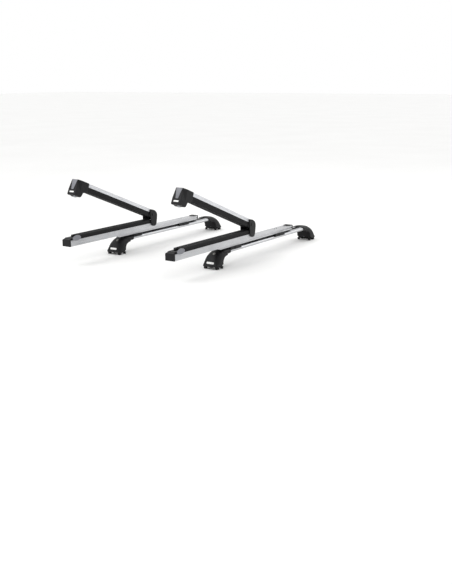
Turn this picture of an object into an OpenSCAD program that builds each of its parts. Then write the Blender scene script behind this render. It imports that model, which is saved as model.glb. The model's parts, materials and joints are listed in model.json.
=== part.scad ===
/* [Layout] */
// distance between the two crossbars along the car
bar_spacing = 700; // [600:10:900]
// length of the front crossbar between its two collars
front_clear_length = 796; // [780:2:860]
// length of the rear crossbar between its two collars
rear_clear_length = 756; // [752:2:820]
// how far the carrier's centreline sits ahead of the bar's centre
carrier_shift = 12; // [8:1:14]

/* [Crossbar] */
// chord of the wing-shaped bar
bar_w = 80; // [78:1:84]
// thickness of the wing-shaped bar
bar_h = 25; // [24:0.5:26]
// height of the bar's middle over the jaws' tips
bar_z = 81; // [80:0.5:82]

/* [Ski carrier] */
// width of the slider and of the upper arm
arm_w = 56; // [54:1:58]
// length of the pull-out slider
slider_length = 722; // [715:1:730]
// height of the lower rubber pad
lower_pad_h = 21.5; // [16:0.5:22]
// height of the upper rubber pad
upper_pad_h = 27.5; // [22:0.5:28]
// angle of the upper arm over the lower arm, as shown
open_angle = 21.5; // [18:0.5:30]

/* [Hidden] */

front_x = bar_spacing / 2;
rear_x = -bar_spacing / 2;
function collar_y(unit_x) = (unit_x > 0 ? front_clear_length : rear_clear_length) / 2;

// each carrier is clamped at its own place along its bar
front_carrier_y = 3;
rear_carrier_y = -4;
function carrier_y(unit_x) = unit_x > 0 ? front_carrier_y : rear_carrier_y;
gap = 0.3;
eps = 0.1;

// crossbar
bar_in_foot = 50;
bar_wall = 2.6;
wing_points = 72;
wing_power = 0.78;
slot_mouth_w = 12;
slot_w = 21;
slot_floor_z = bar_z - 3;
slot_roof_z = bar_z + 6.5;
bar_top_z = bar_z + bar_h / 2;
strip_w = slot_mouth_w - 0.6;
strip_top_z = bar_top_z + 4;
strip_cut = 9;

// feet, measured outwards from the collar along the bar
foot_w = 96;
foot_in = 76;
foot_out = 142;
neck_low_z = 62;
sleeve_len = 42;
sleeve_wall = 4;
cover_low_z = 13;
cover_top_z = 98;
cover_wall = 3.5;
arch_len = 18;
arch_h = 11;
dome_drop = 36;
dome_power = 2.8;
pad_low_z = 8;
pad_in = 86;
pad_out = 115;
tread_step = 6;
tread_w = 2;
pad_top_z = 14;
base_w = 72;
base_in = 84;
base_out = 117;
tongue_x0 = -28;
tongue_x1 = -3;
tongue_start = 14;
jaw_t = 7;
jaw_w = 64;
jaw_top_z = 34;
jaw_foot_w = 82;
jaw_foot_z = 19;
jaw_hook = 2;
outer_jaw_in = base_out + gap;
inner_jaw_out = base_in - gap;
claw_x0 = 30;
claw_x1 = 45;
claw_root_x1 = 41;
claw_top_z = 17;
clamp_bolt_r = 3;
clamp_bolt_z = 23;
clamp_head_r = 5.5;
clamp_head_h = 6;
lock_r = 9;
lock_len = 15;
lock_tilt = 52;
lock_out = 87.5;
lock_z = 66.5;
lock_fit = 0.06;
badge_w = 46;
badge_h = 10;
badge_t = 1.8;
badge_out = 133.2;
badge_z = 34;
badge_tilt = 21;
head_badge_w = 30;

// base rail
rail_w = 50;
rail_low_z = bar_top_z + 8.5;
rail_top_z = rail_low_z + 23;
rail_near_y = -490;
rail_far_y = 262;
rail_groove_low = 7.5;
rail_groove_h = 6;
rail_groove_d = 4;
rail_mouth_w = 9;
rail_chamber_w = 17;
rail_lip = 3;
rail_chamber_h = 6;
rib_w = 2.4;
rib_d = 1.2;
stop_y = 236;
stop_h = 3;
cap_t = 8;
rivet_r = 3.2;
rivet_h = 1.2;
rivet_y = 100;
rivet_step = 22;

// brackets between bar and rail
bracket_len = 100;
near_bracket_y = -350;
far_bracket_y = 114;
bracket_w = 60;
bracket_low_z = bar_top_z - 8;
bolt_r = 3;
bolt_ys = [near_bracket_y - 8, near_bracket_y + 28, far_bracket_y - 28, far_bracket_y + 28];
bolt_fit = 0.05;

// slider
slider_far_y = -165;
slider_near_y = slider_far_y - slider_length;
slider_low_z = rail_low_z + 9;
slider_top_z = slider_low_z + 33;
slider_wall = 2.4;
slider_roof_z = rail_top_z + 2;
slider_chamber_h = 9;
slider_lip = 3.2;
slider_lip_in = 5.4;
glide_w = 10;
glide_len = 60;
glide_x = 20;

// near end block and its oval release button
plate_t = 9;
plate_top_z = slider_top_z + 5;
block_w = 48;
block_len = 72;
block_top_z = slider_top_z + 12;
rib_stop_t = 8;
rib_stop_z = slider_top_z + 21;
catch_w = 20;
catch_len = 32;
catch_d = 9;
catch_y = slider_near_y + 51;
button_rx = 31.5;
button_rz = 14.3;
button_x0 = 32.8;
button_x1 = 36;
button_round = 1.2;
button_y = slider_near_y + 39;
button_z = slider_top_z + 11;
stem_rx = 15;
stem_rz = 3.8;
stem_x0 = 18;
stem_z = slider_top_z + 6.2;
stem_room = 4;

// hinge
pivot_y = slider_far_y - 30;
pivot_z = slider_top_z + 51;
pin_r = 4;
pin_fit = 0.05;
pin_head_r = 8;
cheek_t = 4;
cheek_near = -24;
cheek_far = 41;
back_wall_t = 5;
hinge_floor_z = slider_top_z + 8;
lower_pad_near_y = slider_near_y + block_len - plate_t + 2;
lower_pad_far_y = pivot_y - 10;
pad_w = arm_w - 4;

// upper arm, in its own frame: outwards along -Y from the pivot
arm_start = 12;
arm_end = 632;
arm_low = 7;
arm_h = 19.5;
knuckle_r = 19;
knuckle_len = 30;
upper_pad_start = 31;
upper_pad_end = 606;

// latch head
head_start = 580;
head_end = 673;
head_top = arm_low + arm_h + 2;
head_low = -62.5;
head_w = 59;
head_taper = 37;
head_tip_top_w = 40;
head_tip_low_w = 57;
head_slant = 8.3;
head_button_top_w = 38;
head_button_low_w = 15;
head_button_low = -28;
head_button_t = 9;
head_button_proud = 1.5;
head_button_room = 8;
head_badge_t = 2;
head_badge_low = -46;
head_badge_high = -38;
latch_w = 14;
latch_t = 9;
latch_s = 641;
latch_z = -34;
latch_tip = -66;
latch_room = 34;

mid_y = (collar_y(front_x) + foot_out + slider_near_y + rear_carrier_y - plate_t) / 2;

silver = [0.78, 0.79, 0.81];
charcoal = [0.13, 0.13, 0.14];
rubber = [0.09, 0.09, 0.095];
button_grey = [0.62, 0.62, 0.65];
steel = [0.6, 0.6, 0.62];
white = [0.93, 0.93, 0.93];

function signed_power(v, e) = sign(v) * pow(abs(v), e);
function wing_outline(grow) = [for (i = [0:wing_points - 1])
    let (a = 360 * i / wing_points)
    [(bar_w / 2 + grow) * signed_power(cos(a), wing_power),
     (bar_h / 2 + grow) * signed_power(sin(a), wing_power)]];

// puts the origin under the middle of the whole rack
module placed() {
    translate([0, -mid_y, 0])
        children();
}

// a flat shape in X and Z, carried along Y from y0 to y1
module along_y(y0, y1) {
    translate([0, y1, 0])
        rotate([90, 0, 0])
            linear_extrude(height = y1 - y0)
                children();
}

// a flat shape in Y and Z, carried along X from x0 to x1
module along_x(x0, x1) {
    translate([x0, 0, 0])
        rotate([90, 0, 90])
            linear_extrude(height = x1 - x0)
                children();
}

module box(x0, x1, y0, y1, z0, z1) {
    translate([x0, y0, z0])
        cube([x1 - x0, y1 - y0, z1 - z0]);
}

module flat_box(u0, u1, v0, v1) {
    translate([u0, v0])
        square([u1 - u0, v1 - v0]);
}

// children are drawn for the far end of the bar, with y = 0 at the collar
module far_end(unit_x) {
    translate([unit_x, collar_y(unit_x), 0])
        children();
}

module near_end(unit_x) {
    translate([unit_x, 0, 0])
        mirror([0, 1, 0])
            translate([0, collar_y(unit_x), 0])
                children();
}

module every_end() {
    far_end(front_x) children();
    near_end(front_x) children();
    far_end(rear_x) children();
    near_end(rear_x) children();
}

module carrier(unit_x) {
    translate([unit_x + carrier_shift, carrier_y(unit_x), 0])
        children();
}

module arm_frame(unit_x) {
    translate([unit_x + carrier_shift, carrier_y(unit_x) + pivot_y, pivot_z])
        rotate([-open_angle, 0, 0])
            children();
}

module at_bolts(unit_x) {
    for (y = bolt_ys)
        carrier(unit_x)
            translate([0, y, 0])
                children();
}

module bar(unit_x) {
    translate([unit_x, 0, 0])
        along_y(-collar_y(unit_x) - bar_in_foot, collar_y(unit_x) + bar_in_foot)
            difference() {
                translate([0, bar_z])
                    polygon(wing_outline(0));
                difference() {
                    translate([0, bar_z])
                        polygon(wing_outline(-bar_wall));
                    flat_box(carrier_shift - slot_w / 2 - bar_wall, carrier_shift + slot_w / 2 + bar_wall,
                        slot_floor_z - bar_wall, bar_top_z);
                }
                flat_box(carrier_shift - slot_w / 2, carrier_shift + slot_w / 2, slot_floor_z, slot_roof_z);
                flat_box(carrier_shift - slot_mouth_w / 2, carrier_shift + slot_mouth_w / 2,
                    slot_floor_z, bar_top_z + 1);
            }
}

module front_bar() {
    color(silver) placed() bar(front_x);
}

module rear_bar() {
    color(silver) placed() bar(rear_x);
}

module strip(unit_x) {
    translate([unit_x, 0, 0])
        difference() {
            along_y(2 - collar_y(unit_x), collar_y(unit_x) - 2)
                translate([carrier_shift, 0])
                    flat_box(-strip_w / 2, strip_w / 2, slot_roof_z, strip_top_z);
            for (y = [near_bracket_y, far_bracket_y])
                box(carrier_shift - strip_cut, carrier_shift + strip_cut,
                    carrier_y(unit_x) + y - bracket_len / 2 - gap,
                    carrier_y(unit_x) + y + bracket_len / 2 + gap,
                    slot_floor_z, strip_top_z + 1);
        }
}

module bar_strips() {
    color(rubber) placed() strip(front_x);
    color(rubber) placed() strip(rear_x);
}

// the space under a foot's neck, y outwards from the collar
module under_neck(grow) {
    polygon([[-1, 0], [foot_in + grow, 0], [foot_in + grow, 34], [foot_in - 3 + grow, 44 + grow],
        [foot_in - 9 + grow, 53 + grow], [foot_in - 18, neck_low_z - 3 + grow],
        [foot_in - 28, neck_low_z + grow], [20, neck_low_z + 3 + grow], [-1, neck_low_z + 3 + grow]]);
}

// one cross-section of the domed cover: outwards place, crest height and half width
module dome_rib(out, crest, half_w, inset) {
    top = crest - inset;
    low = cover_low_z - (inset > 0 ? 1 : 0);
    drop = min(dome_drop, top - low - 3);
    edge = [for (u = [1, 0.94, 0.8, 0.55, 0.25])
        [(half_w - inset) * u, top - drop * (1 - pow(1 - pow(u, dome_power), 1 / dome_power))]];
    along_y(out - inset - 0.1, out - inset)
        polygon(concat([[half_w - inset, low]], edge, [for (i = [4:-1:0]) [-edge[i][0], edge[i][1]]],
            [[inset - half_w, low]]));
}

module cover_dome(inset, start) {
    hull() {
        dome_rib(start + inset, cover_top_z, foot_w / 2 - 6, inset);
        dome_rib(46, 96.8, foot_w / 2 - 3.5, inset);
        dome_rib(60, 94, foot_w / 2 - 2, inset);
        dome_rib(80, 88, foot_w / 2 - 1, inset);
        dome_rib(98, 78.5, foot_w / 2, inset);
        dome_rib(112, 67.5, foot_w / 2, inset);
        dome_rib(124, 52.5, foot_w / 2, inset);
        dome_rib(133, 36, foot_w / 2 - 1, inset);
        dome_rib(139, 20, foot_w / 2 - 3.5, inset);
        dome_rib(foot_out, cover_low_z + 4.5, foot_w / 2 - 7, inset);
    }
}

module lock_place() {
    translate([0, lock_out, lock_z])
        rotate([lock_tilt - 90, 0, 0])
            children();
}

module badge_place() {
    translate([0, badge_out, badge_z])
        rotate([badge_tilt, 0, 0])
            children();
}

module foot_cover() {
    difference() {
        union() {
            difference() {
                cover_dome(0, 26);
                along_x(-foot_w, foot_w)
                    under_neck(0);
            }
            along_y(0, sleeve_len)
                translate([0, bar_z])
                    polygon(wing_outline(sleeve_wall));
        }
        difference() {
            cover_dome(cover_wall, sleeve_len + 2);
            along_x(-foot_w, foot_w)
                under_neck(cover_wall);
        }
        along_y(-1, bar_in_foot + gap)
            translate([0, bar_z])
                polygon(wing_outline(gap));
        along_x(-foot_w, foot_w)
            polygon([[foot_in - 1, 0], [foot_in + arch_len, 0], [foot_in + arch_len, cover_low_z],
                [foot_in - 1, cover_low_z + arch_h]]);
        lock_place()
            cylinder(r = lock_r + lock_fit, h = 60, $fn = 96);
        badge_place()
            box(-badge_w / 2 - eps, badge_w / 2 + eps, -badge_t, 20, -badge_h / 2 - eps, badge_h / 2 + eps);
    }
}

module front_near_cover() {
    color(charcoal) placed() near_end(front_x) foot_cover();
}

module front_far_cover() {
    color(charcoal) placed() far_end(front_x) foot_cover();
}

module rear_near_cover() {
    color(charcoal) placed() near_end(rear_x) foot_cover();
}

module rear_far_cover() {
    color(charcoal) placed() far_end(rear_x) foot_cover();
}

module foot_base() {
    difference() {
        union() {
            along_x(-base_w / 2, base_w / 2)
                polygon([[base_in, pad_top_z], [base_in, 69], [98, 60], [112, 47],
                    [base_out, 41], [base_out, pad_top_z]]);
            along_x(tongue_x0, tongue_x1)
                polygon([[tongue_start, bar_z - 7], [tongue_start, bar_z + 1], [66, bar_z + 1], [80, 74],
                    [88, 66], [88, 60], [72, 62], [66, 67.5], [bar_in_foot + 1, 67.5],
                    [bar_in_foot + 1, bar_z - 7]]);
        }
        translate([0, base_in - 1, clamp_bolt_z])
            rotate([-90, 0, 0])
                cylinder(r = clamp_bolt_r + gap, h = 90, $fn = 48);
        lock_place()
            translate([0, 0, -gap])
                cylinder(r = lock_r + gap, h = 60, $fn = 48);
    }
}

module foot_bases() {
    color(charcoal) placed() every_end() foot_base();
}

module foot_pads() {
    color(rubber) placed()
        every_end()
            difference() {
                box(-jaw_foot_w / 2, jaw_foot_w / 2, pad_in, pad_out, pad_low_z, pad_top_z - eps);
                for (y = [pad_in + 4:tread_step:pad_out - 4])
                    box(-foot_w, foot_w, y, y + tread_w, pad_low_z - 1, pad_low_z + 1.5);
            }
}

// two claws: a wide tip below the cover from y0 to y1, and a root inside it
module claws(y0, y1, root_y0, root_y1) {
    for (side = [-1, 1])
        translate([side * (claw_x0 + claw_x1) / 2, 0, 0])
            box((claw_x0 - claw_x1) / 2, (claw_x1 - claw_x0) / 2, y0, y1, 0, cover_low_z - 0.4);
    for (side = [-1, 1])
        translate([side * (claw_x0 + claw_root_x1) / 2, 0, 0])
            box((claw_x0 - claw_root_x1) / 2, (claw_root_x1 - claw_x0) / 2,
                root_y0, root_y1, 1, claw_top_z);
}

module outer_jaw() {
    difference() {
        union() {
            box(-jaw_w / 2, jaw_w / 2, outer_jaw_in, outer_jaw_in + jaw_t, cover_low_z + 2, jaw_top_z);
            box(-jaw_foot_w / 2, jaw_foot_w / 2, outer_jaw_in, outer_jaw_in + jaw_t,
                cover_low_z + 2, jaw_foot_z);
            claws(outer_jaw_in - jaw_hook, outer_jaw_in + 15, outer_jaw_in, outer_jaw_in + 15);
        }
        translate([0, base_out - 1, clamp_bolt_z])
            rotate([-90, 0, 0])
                cylinder(r = clamp_bolt_r + gap, h = 20, $fn = 48);
    }
}

module inner_jaw() {
    difference() {
        union() {
            box(-jaw_w / 2, jaw_w / 2, inner_jaw_out - 4, inner_jaw_out, cover_low_z + 2, jaw_top_z);
            box(-jaw_foot_w / 2, jaw_foot_w / 2, inner_jaw_out - 4, inner_jaw_out,
                cover_low_z + 2, jaw_foot_z);
            claws(foot_in + 1, inner_jaw_out + jaw_hook, inner_jaw_out - 4, inner_jaw_out);
        }
        translate([0, inner_jaw_out - 20, clamp_bolt_z])
            rotate([-90, 0, 0])
                cylinder(r = clamp_bolt_r + bolt_fit, h = 30, $fn = 48);
    }
}

module outer_jaws() {
    color(charcoal) placed() every_end() outer_jaw();
}

module inner_jaws() {
    color(charcoal) placed() every_end() inner_jaw();
}

module clamp_bolt() {
    translate([0, inner_jaw_out - 4, clamp_bolt_z])
        rotate([-90, 0, 0])
            cylinder(r = clamp_bolt_r, h = outer_jaw_in + jaw_t + eps + 1 - inner_jaw_out + 4, $fn = 48);
    translate([0, outer_jaw_in + jaw_t + eps, clamp_bolt_z])
        rotate([-90, 0, 0])
            difference() {
                cylinder(r = clamp_head_r, h = clamp_head_h, $fn = 48);
                translate([0, 0, 2])
                    cylinder(r = 2.9, h = 10, $fn = 6);
            }
}

module clamp_bolts() {
    color(steel) placed() every_end() clamp_bolt();
}

module foot_lock() {
    lock_place()
        difference() {
            union() {
                cylinder(r = lock_r, h = lock_len, $fn = 96);
                translate([0, 0, lock_len])
                    cylinder(r1 = lock_r, r2 = lock_r - 1.5, h = 1.5, $fn = 96);
            }
            translate([-1, -4, lock_len - 2])
                cube([2, 8, 10]);
        }
}

module front_near_lock() {
    color(steel) placed() near_end(front_x) foot_lock();
}

module front_far_lock() {
    color(steel) placed() far_end(front_x) foot_lock();
}

module rear_near_lock() {
    color(steel) placed() near_end(rear_x) foot_lock();
}

module rear_far_lock() {
    color(steel) placed() far_end(rear_x) foot_lock();
}

module foot_badges() {
    color(white) placed()
        every_end()
            badge_place()
                box(-badge_w / 2, badge_w / 2, eps - badge_t, 0.6, -badge_h / 2, badge_h / 2);
}

module ribs(half_w, heights) {
    for (z = heights)
        for (side = [-1, 1])
            flat_box(side * half_w - rib_d, side * half_w + rib_d, z - rib_w / 2, z + rib_w / 2);
}

module rail(unit_x) {
    carrier(unit_x)
        along_y(rail_near_y, rail_far_y)
            difference() {
                flat_box(-rail_w / 2, rail_w / 2, rail_low_z, rail_top_z);
                for (side = [-1, 1])
                    translate([side * rail_w / 2, rail_low_z + rail_groove_low + rail_groove_h / 2])
                        square([2 * rail_groove_d, rail_groove_h], center = true);
                flat_box(-rail_mouth_w / 2, rail_mouth_w / 2, rail_low_z - 1, rail_low_z + rail_lip + 1);
                flat_box(-rail_chamber_w / 2, rail_chamber_w / 2, rail_low_z + rail_lip,
                    rail_low_z + rail_lip + rail_chamber_h);
                flat_box(-rail_w / 2 + 3, rail_w / 2 - 3, rail_top_z - 8.5, rail_top_z - 2.5);
                ribs(rail_w / 2, [rail_low_z + 3.5, rail_top_z - 5]);
            }
}

module front_rail() {
    color(silver) placed() rail(front_x);
}

module rear_rail() {
    color(silver) placed() rail(rear_x);
}

module rail_cap() {
    box(-rail_w / 2, rail_w / 2, rail_far_y + eps, rail_far_y + cap_t, rail_low_z, rail_top_z + stop_h);
    box(-rail_w / 2 + 3, rail_w / 2 - 3, stop_y, rail_far_y + 1, rail_top_z + eps, rail_top_z + stop_h);
}

module rail_caps() {
    color(charcoal) placed() carrier(front_x) rail_cap();
    color(charcoal) placed() carrier(rear_x) rail_cap();
}

module rail_rivets() {
    for (unit_x = [front_x, rear_x])
        for (i = [0:1])
            color(steel) placed()
                carrier(unit_x)
                    translate([0, rivet_y + i * rivet_step, rail_top_z + 0.05])
                        cylinder(r = rivet_r, h = rivet_h, $fn = 48);
}

module bracket(unit_x, y) {
    difference() {
        carrier(unit_x) {
            box(-bracket_w / 2, bracket_w / 2, y - bracket_len / 2, y + bracket_len / 2,
                bracket_low_z, rail_low_z - eps);
            box(-bracket_w / 2 + 6, bracket_w / 2 + 3, y - bracket_len / 2 + 38, y + bracket_len / 2,
                bracket_low_z, rail_low_z - eps);
        }
        translate([unit_x, 0, 0])
            along_y(y - bracket_len, y + bracket_len)
                translate([0, bar_z])
                    polygon(wing_outline(eps));
        translate([unit_x, -collar_y(unit_x) + gap, 0])
            box(-foot_w, foot_w, -bracket_len, 0, 0, cover_top_z + gap);
        at_bolts(unit_x)
            translate([0, 0, bar_z])
                cylinder(r = bolt_r + gap, h = 40, $fn = 48);
    }
}

module brackets() {
    for (unit_x = [front_x, rear_x])
        for (y = [near_bracket_y, far_bracket_y])
            color(charcoal) placed() bracket(unit_x, y);
}

module bracket_bolt() {
    translate([0, 0, slot_floor_z + eps])
        cylinder(r = bolt_r, h = rail_low_z + rail_lip + 1 - slot_floor_z, $fn = 48);
    box(-8, 8, -5, 5, rail_low_z + rail_lip + eps, rail_low_z + rail_lip + 4.5);
}

module bracket_bolts() {
    for (unit_x = [front_x, rear_x])
        color(steel) placed()
            at_bolts(unit_x) bracket_bolt();
}

module slot_nut() {
    difference() {
        box(-slot_w / 2 + 1, slot_w / 2 - 1, -8, 8, slot_roof_z - 6, slot_roof_z - eps);
        translate([0, 0, slot_floor_z])
            cylinder(r = bolt_r + bolt_fit, h = 20, $fn = 48);
    }
}

module slot_nuts() {
    for (unit_x = [front_x, rear_x])
        color(steel) placed()
            at_bolts(unit_x) slot_nut();
}

module slider(unit_x) {
    carrier(unit_x)
        along_y(slider_near_y, slider_far_y)
            difference() {
                flat_box(-arm_w / 2, arm_w / 2, slider_low_z, slider_top_z);
                flat_box(-arm_w / 2 + slider_wall, arm_w / 2 - slider_wall,
                    slider_low_z + slider_lip, slider_roof_z);
                flat_box(-arm_w / 2 + slider_lip_in, arm_w / 2 - slider_lip_in,
                    slider_low_z - 1, slider_roof_z);
                flat_box(-arm_w / 2 + 4, arm_w / 2 - 4, slider_top_z - slider_chamber_h - 3,
                    slider_top_z - 3);
                ribs(arm_w / 2, [slider_low_z + 9, slider_low_z + 16, slider_low_z + 23, slider_low_z + 29]);
            }
}

module front_slider() {
    color(silver) placed() slider(front_x);
}

module rear_slider() {
    color(silver) placed() slider(rear_x);
}

module glides(unit_x) {
    for (y = [slider_far_y - glide_len - 2, slider_far_y - 270])
        for (side = [-1, 1])
            carrier(unit_x)
                translate([side * glide_x, y, 0])
                    box(-glide_w / 2, glide_w / 2, 0, glide_len, rail_top_z + gap, slider_roof_z - 0.05);
}

module front_glides() {
    color(charcoal) placed() glides(front_x);
}

module rear_glides() {
    color(charcoal) placed() glides(rear_x);
}

module oval(rx, rz) {
    scale([rx / rz, 1])
        circle(r = rz, $fn = 96);
}

module end_block(unit_x) {
    carrier(unit_x)
        difference() {
            union() {
                box(-arm_w / 2, arm_w / 2, slider_near_y - plate_t, slider_near_y - eps,
                    slider_low_z, plate_top_z - 2);
                along_x(-block_w / 2, block_w / 2)
                    polygon([[slider_near_y - plate_t, slider_top_z + 0.05],
                        [slider_near_y - plate_t, plate_top_z],
                        [slider_near_y + 2, plate_top_z + 3], [slider_near_y + 12, block_top_z],
                        [slider_near_y - plate_t + block_len - rib_stop_t - 2, block_top_z],
                        [slider_near_y - plate_t + block_len - rib_stop_t, rib_stop_z],
                        [slider_near_y - plate_t + block_len, rib_stop_z],
                        [slider_near_y - plate_t + block_len, slider_top_z + 0.05]]);
            }
            box(-catch_w / 2, catch_w / 2, catch_y - catch_len / 2 - 6, catch_y + catch_len / 2 - 6,
                block_top_z - catch_d, block_top_z + 20);
            along_x(stem_x0 - stem_room, block_w)
                translate([button_y, stem_z])
                    oval(stem_rx + gap, stem_rz + gap);
        }
}

module front_end_block() {
    color(charcoal) placed() end_block(front_x);
}

module rear_end_block() {
    color(charcoal) placed() end_block(rear_x);
}

module slide_button(unit_x) {
    carrier(unit_x) {
        along_x(stem_x0, button_x0 + 1)
            translate([button_y, stem_z])
                oval(stem_rx, stem_rz);
        along_x(button_x0, button_x1 - button_round)
            translate([button_y, button_z])
                oval(button_rx, button_rz);
        along_x(button_x1 - button_round - eps, button_x1)
            translate([button_y, button_z])
                oval(button_rx - button_round, button_rz - button_round);
    }
}

module front_slide_button() {
    color(button_grey) placed() slide_button(front_x);
}

module rear_slide_button() {
    color(button_grey) placed() slide_button(rear_x);
}

module lower_pad(unit_x) {
    carrier(unit_x)
        along_y(lower_pad_near_y, lower_pad_far_y)
            difference() {
                flat_box(-pad_w / 2, pad_w / 2, slider_top_z + 0.05, slider_top_z + lower_pad_h);
                for (x = [-20:8:20])
                    flat_box(x - 1, x + 1, slider_top_z + lower_pad_h - 1.5, slider_top_z + lower_pad_h + 1);
                for (side = [-1, 1])
                    flat_box(side * pad_w / 2 - 1, side * pad_w / 2 + 1, slider_top_z + 9, slider_top_z + 11);
            }
}

module front_lower_pad() {
    color(rubber) placed() lower_pad(front_x);
}

module rear_lower_pad() {
    color(rubber) placed() lower_pad(rear_x);
}

module cheek_outline() {
    translate([pivot_y, pivot_z])
        polygon([[cheek_near, 24], [-22, 0], [-18, -45], [-15, -57], [-6, -66], [8, -70.5], [20, -70],
            [29, -65], [34, -52], [38, -34], [cheek_far, -12], [40, 0], [35, 10], [26, 19], [12, 26],
            [0, 30], [-10, 32], [-19, 31]]);
}

module hinge_housing(unit_x) {
    carrier(unit_x)
        difference() {
            along_x(-arm_w / 2 - gap - cheek_t, arm_w / 2 + gap + cheek_t)
                cheek_outline();
            box(-arm_w / 2 - gap, arm_w / 2 + gap, pivot_y + cheek_near - 1,
                pivot_y + cheek_far - back_wall_t, slider_low_z, pivot_z + 50);
            along_x(-arm_w, arm_w)
                translate([pivot_y, pivot_z])
                    circle(r = pin_r + pin_fit, $fn = 64);
        }
    carrier(unit_x)
        box(-arm_w / 2 - gap - 1, arm_w / 2 + gap + 1, pivot_y - 9,
            pivot_y + 33, slider_top_z + 0.05, hinge_floor_z);
}

module front_hinge_housing() {
    color(charcoal) placed() hinge_housing(front_x);
}

module rear_hinge_housing() {
    color(charcoal) placed() hinge_housing(rear_x);
}

module hinge_pin(unit_x) {
    carrier(unit_x)
        translate([0, pivot_y, pivot_z]) {
            along_x(-arm_w / 2 - cheek_t - 1, arm_w / 2 + cheek_t + 1)
                circle(r = pin_r, $fn = 64);
            for (side = [-1, 1])
                translate([side * (arm_w / 2 + gap + cheek_t + 1.1), 0, 0])
                    along_x(-1, 1)
                        circle(r = pin_head_r, $fn = 64);
        }
}

module front_hinge_pin() {
    color(steel) placed() hinge_pin(front_x);
}

module rear_hinge_pin() {
    color(steel) placed() hinge_pin(rear_x);
}

module upper_arm(unit_x) {
    arm_frame(unit_x)
        along_y(-arm_end, -arm_start)
            difference() {
                flat_box(-arm_w / 2, arm_w / 2, arm_low, arm_low + arm_h);
                flat_box(-arm_w / 2 + 3, arm_w / 2 - 3, arm_low + 3, arm_low + arm_h - 3);
                ribs(arm_w / 2, [arm_low + 5, arm_low + 10, arm_low + 15]);
            }
}

module front_upper_arm() {
    color(silver) placed() upper_arm(front_x);
}

module rear_upper_arm() {
    color(silver) placed() upper_arm(rear_x);
}

module knuckle(unit_x) {
    arm_frame(unit_x)
        difference() {
            intersection() {
                along_x(-arm_w / 2 + gap, arm_w / 2 - gap)
                    union() {
                        circle(r = knuckle_r, $fn = 96);
                        flat_box(-knuckle_len, 0, -knuckle_r, knuckle_r);
                    }
                union() {
                    box(-arm_w, arm_w, -knuckle_len, knuckle_r, -knuckle_r, arm_low - 0.05);
                    box(-arm_w, arm_w, -arm_start + eps, knuckle_r, 0, knuckle_r);
                }
            }
            along_x(-arm_w, arm_w)
                circle(r = pin_r + pin_fit, $fn = 64);
        }
}

module front_knuckle() {
    color(charcoal) placed() knuckle(front_x);
}

module rear_knuckle() {
    color(charcoal) placed() knuckle(rear_x);
}

module upper_pad(unit_x) {
    arm_frame(unit_x)
        along_y(-upper_pad_end, -upper_pad_start)
            difference() {
                flat_box(-pad_w / 2, pad_w / 2, arm_low - upper_pad_h, arm_low - 0.05);
                for (x = [-20:8:20])
                    flat_box(x - 1, x + 1, arm_low - upper_pad_h - 1, arm_low - upper_pad_h + 1.5);
                for (side = [-1, 1])
                    flat_box(side * pad_w / 2 - 1, side * pad_w / 2 + 1, arm_low - 12, arm_low - 10);
            }
}

module front_upper_pad() {
    color(rubber) placed() upper_pad(front_x);
}

module rear_upper_pad() {
    color(rubber) placed() upper_pad(rear_x);
}

module head_side() {
    polygon([[-head_start, arm_low - upper_pad_h - 3], [-head_start, head_top - 4],
        [-head_start - 4, head_top], [head_slant + 2 - head_end, head_top],
        [head_slant - head_end, head_top - 2], [-head_end, head_low + 9],
        [3 - head_end, head_low + 5.5], [8 - head_end, head_low + 4], [16 - head_end, head_low + 5],
        [24 - head_end, head_low + 5.5], [30 - head_end, head_low + 1.5],
        [34 - head_end, head_low], [42 - head_end, head_low],
        [52 - head_end, head_low + 6], [60 - head_end, head_low + 28],
        [70 - head_end, arm_low - upper_pad_h - 8]]);
}

module head_section(top_w, low_w) {
    rotate([90, 0, 0])
        linear_extrude(height = 0.5)
            polygon([[-low_w / 2, head_low - 1], [low_w / 2, head_low - 1],
                [low_w / 2, head_low + 30], [top_w / 2, head_top + 1],
                [-top_w / 2, head_top + 1], [-low_w / 2, head_low + 30]]);
}

module head_button_face(grow) {
    polygon([[-head_button_top_w / 2 - grow, head_top + 1], [head_button_top_w / 2 + grow, head_top + 1],
        [head_button_low_w / 2 + grow, head_button_low - grow],
        [-head_button_low_w / 2 - grow, head_button_low - grow]]);
}

// a slab parallel to the head's slanted end face, from depth d0 to depth d1 behind it
module end_slab(d0, d1) {
    along_x(-arm_w, arm_w)
        polygon([[head_slant - head_end + d0, head_top], [head_slant - head_end + d1, head_top],
            [d1 - head_end, head_low], [d0 - head_end, head_low]]);
}

module head(unit_x) {
    arm_frame(unit_x)
        difference() {
            intersection() {
                along_x(-head_w / 2, head_w / 2)
                    head_side();
                hull() {
                    translate([0, 1 - head_start, 0])
                        head_section(head_w, head_w);
                    translate([0, head_taper - head_end, 0])
                        head_section(head_w, head_w);
                    translate([0, 12 - head_end, 0])
                        head_section(head_tip_top_w + 6, head_w);
                    translate([0, -head_end, 0])
                        head_section(head_tip_top_w, head_tip_low_w);
                }
            }
            box(-arm_w / 2 - eps, arm_w / 2 + eps, -arm_end - eps, 1 - head_start, arm_low - eps,
                arm_low + arm_h + eps);
            box(-pad_w / 2 - eps, pad_w / 2 + eps, -upper_pad_end - eps, 1 - head_start,
                arm_low - upper_pad_h - eps, arm_low);
            intersection() {
                along_y(-head_end - 10, -head_end + 40)
                    head_button_face(gap);
                end_slab(-5, head_button_t - head_button_proud + head_button_room);
            }
            intersection() {
                box(-head_badge_w / 2 - eps, head_badge_w / 2 + eps, -head_end - 5, 20 - head_end,
                    head_badge_low - eps, head_badge_high + eps);
                end_slab(-5, head_badge_t);
            }
            box(-latch_w / 2 - gap, latch_w / 2 + gap, -latch_s - latch_room / 2, -latch_s + latch_room / 2,
                head_low - 10, latch_z + 14);
        }
}

module front_head() {
    color(charcoal) placed() head(front_x);
}

module rear_head() {
    color(charcoal) placed() head(rear_x);
}

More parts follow.
